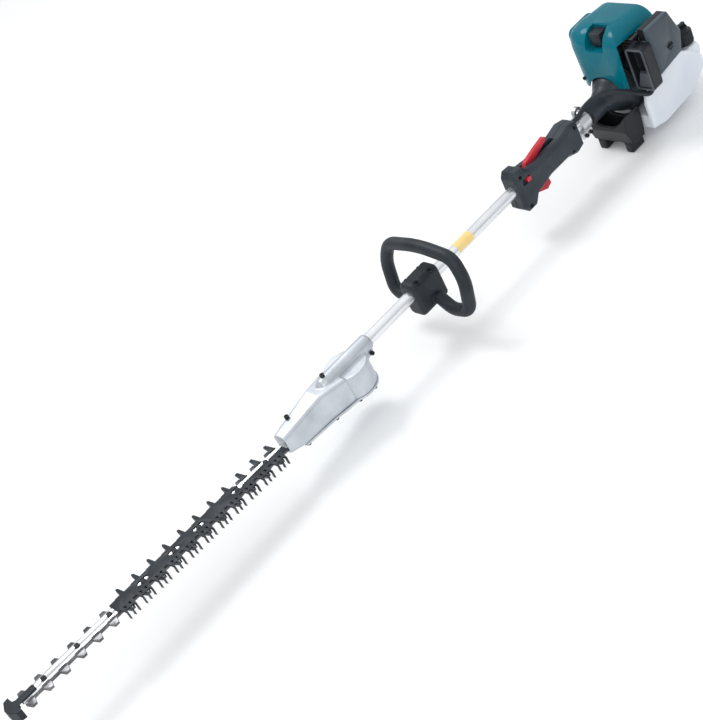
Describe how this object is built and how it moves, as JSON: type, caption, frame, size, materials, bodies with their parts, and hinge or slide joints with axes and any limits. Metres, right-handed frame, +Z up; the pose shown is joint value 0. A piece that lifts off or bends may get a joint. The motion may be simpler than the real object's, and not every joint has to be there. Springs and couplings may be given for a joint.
{
  "type": "hedge trimmer",
  "caption": "Petrol long-reach hedge trimmer: two-sided reciprocating blade on a straight gear head, tubular shaft, loop handle, throttle grip and small engine.",
  "frame": {"origin": "centre of the strap eye on the hanger, straight above the shaft axis", "axes": "+X forward along the shaft to the blade tip, +Y to the user's left, +Z up"},
  "size_m": [1.8519, 0.2314, 0.258],
  "materials": {
    "teal_cover": "glossy moulded",
    "slate_plastic": "matte moulded",
    "black_plastic": "matte moulded",
    "slate_satin": "satin moulded",
    "red_plastic": "satin moulded",
    "tank_plastic": "translucent moulded",
    "rubber_black": "matte",
    "tube_aluminium": "anodised satin",
    "cast_aluminium": "cast and painted silver",
    "engine_aluminium": "as cast",
    "blade_steel": "ground",
    "shaft_steel": "turned",
    "bolt_black": "blackened",
    "heat_steel": "heat coloured",
    "bronze_bush": "sintered",
    "filter_foam": "foam"
  },
  "bodies": {
    "pole": {"air_box": "black_plastic", "bar_bolts": "shaft_steel", "blade_guard": "black_plastic", "carburettor": "engine_aluminium", "cleaner_cover": "slate_satin", "clutch_case": "slate_plastic", "control_pins": "shaft_steel", "crankcase": "engine_aluminium", "cylinder": "engine_aluminium", "engine_cover": "teal_cover", "fan_housing": "black_plastic", "filter_element": "filter_foam", "fuel_tank": "tank_plastic", "gear_case": "cast_aluminium", "gear_case_cover": "cast_aluminium", "grip_left": "slate_plastic", "grip_right": "slate_plastic", "grip_screws": "bolt_black", "guide_bar": "blade_steel", "hanger": "engine_aluminium", "hanger_bolts": "bolt_black", "ignition_coil": "black_plastic", "insulator": "black_plastic", "muffler": "heat_steel", "neck_bolts": "bolt_black", "plug_cap": "rubber_black", "rocker_cover": "engine_aluminium", "shaft_bushes": "bronze_bush", "shaft_tube": "tube_aluminium", "small_screws": "bolt_black", "spark_plug": "shaft_steel", "stand": "black_plastic", "starter_case": "black_plastic", "throttle_conduit": "rubber_black", "tip_protector": "black_plastic", "tube_damper": "rubber_black"},
    "loop": {"loop_handle": "slate_plastic", "loop_clamp": "black_plastic", "loop_bolts": "bolt_black"},
    "upper_cutter": {"upper_blade": "blade_steel"},
    "lower_cutter": {"lower_blade": "blade_steel"},
    "drive": {"drive_shaft": "shaft_steel", "bevel_pinion": "shaft_steel", "clutch_drum": "shaft_steel"},
    "crank": {"crank_gear": "shaft_steel"},
    "engine_shaft": {"crankshaft": "shaft_steel", "clutch_shoes": "shaft_steel", "flywheel": "engine_aluminium"},
    "piston": {"piston": "engine_aluminium"},
    "pull_handle": {"starter_handle": "black_plastic"},
    "reel": {"starter_reel": "black_plastic"},
    "trigger": {"throttle_trigger": "red_plastic"},
    "carb_arm": {"throttle_arm": "shaft_steel"},
    "lock": {"lock_lever": "red_plastic"},
    "switch": {"stop_switch": "red_plastic"},
    "choke": {"choke_lever": "black_plastic"},
    "primer": {"primer_bulb": "rubber_black"},
    "tank_cap": {"fuel_cap": "black_plastic"},
    "oil_plug": {"oil_cap": "black_plastic"},
    "knob": {"cleaner_knob": "black_plastic"}
  },
  "joints": [
    {"name": "loop_slide", "type": "slide", "parent": "pole", "child": "loop", "axis": [1, 0, 0], "range_m": [-0.06, 0.06]},
    {"name": "blade_stroke", "type": "slide", "parent": "pole", "child": "upper_cutter", "axis": [0.9995, 0, 0.0332], "range_m": [-0.0085, 0.0085]},
    {"name": "lower_stroke", "type": "slide", "parent": "pole", "child": "lower_cutter", "axis": [0.9995, 0, 0.0332], "range_m": [-0.0085, 0.0085]},
    {"name": "drive_spin", "type": "hinge", "parent": "pole", "child": "drive", "pos_m": [0.3, 0, -0.026], "axis": [1, 0, 0], "continuous": true},
    {"name": "crank_spin", "type": "hinge", "parent": "pole", "child": "crank", "pos_m": [0.718, 0, -0.076], "axis": [0, 0, 1], "continuous": true},
    {"name": "engine_spin", "type": "hinge", "parent": "pole", "child": "engine_shaft", "pos_m": [-0.16, 0, -0.026], "axis": [1, 0, 0], "continuous": true},
    {"name": "piston_travel", "type": "slide", "parent": "pole", "child": "piston", "axis": [0, 0, 1], "range_m": [-0.028, 0]},
    {"name": "starter_pull", "type": "slide", "parent": "pole", "child": "pull_handle", "axis": [-1, 0, 0], "range_m": [0, 0.7], "stiffness_N_per_m": 2, "springref_m": -0.5},
    {"name": "reel_spin", "type": "hinge", "parent": "pole", "child": "reel", "pos_m": [-0.235, 0, -0.026], "axis": [1, 0, 0], "range_deg": [0, 1340]},
    {"name": "trigger_squeeze", "type": "hinge", "parent": "pole", "child": "trigger", "pos_m": [0.178, 0, -0.045], "axis": [0, 1, 0], "range_deg": [0, 18], "stiffness_Nm_per_rad": 0.3, "springref_deg": -20.05},
    {"name": "carb_arm_turn", "type": "hinge", "parent": "pole", "child": "carb_arm", "pos_m": [-0.18, 0.068, 0.074], "axis": [0, 0, -1], "range_deg": [0, 54]},
    {"name": "lock_press", "type": "hinge", "parent": "pole", "child": "lock", "pos_m": [0.166, 0, -0.0065], "axis": [0, -1, 0], "range_deg": [0, 8], "stiffness_Nm_per_rad": 0.3, "springref_deg": -20.05},
    {"name": "switch_slide", "type": "slide", "parent": "pole", "child": "switch", "axis": [1, 0, 0], "range_m": [0, 0.01]},
    {"name": "choke_turn", "type": "hinge", "parent": "pole", "child": "choke", "pos_m": [-0.15, 0.076, 0.086], "axis": [0, -1, 0], "range_deg": [0, 60]},
    {"name": "primer_press", "type": "slide", "parent": "pole", "child": "primer", "axis": [0, 0, 1], "range_m": [0, 0.005], "stiffness_N_per_m": 400, "springref_m": -0.002},
    {"name": "tank_cap_turn", "type": "hinge", "parent": "pole", "child": "tank_cap", "pos_m": [-0.292, 0.042, -0.026], "axis": [0, 0, 1], "range_deg": [0, 360]},
    {"name": "oil_plug_turn", "type": "hinge", "parent": "pole", "child": "oil_plug", "pos_m": [-0.2, -0.045, -0.048], "axis": [0, -1, 0], "range_deg": [0, 360]},
    {"name": "knob_turn", "type": "hinge", "parent": "pole", "child": "knob", "pos_m": [-0.182, 0.11, 0.038], "axis": [0, 1, 0], "range_deg": [0, 180]}
  ],
  "couplings": [
    {"joint": "lower_stroke", "follows": "blade_stroke", "ratio": -1},
    {"joint": "crank_spin", "follows": "drive_spin", "ratio": 0.25},
    {"joint": "reel_spin", "follows": "starter_pull", "rad_per_m": 33.333},
    {"joint": "carb_arm_turn", "follows": "trigger_squeeze", "ratio": 3}
  ]
}
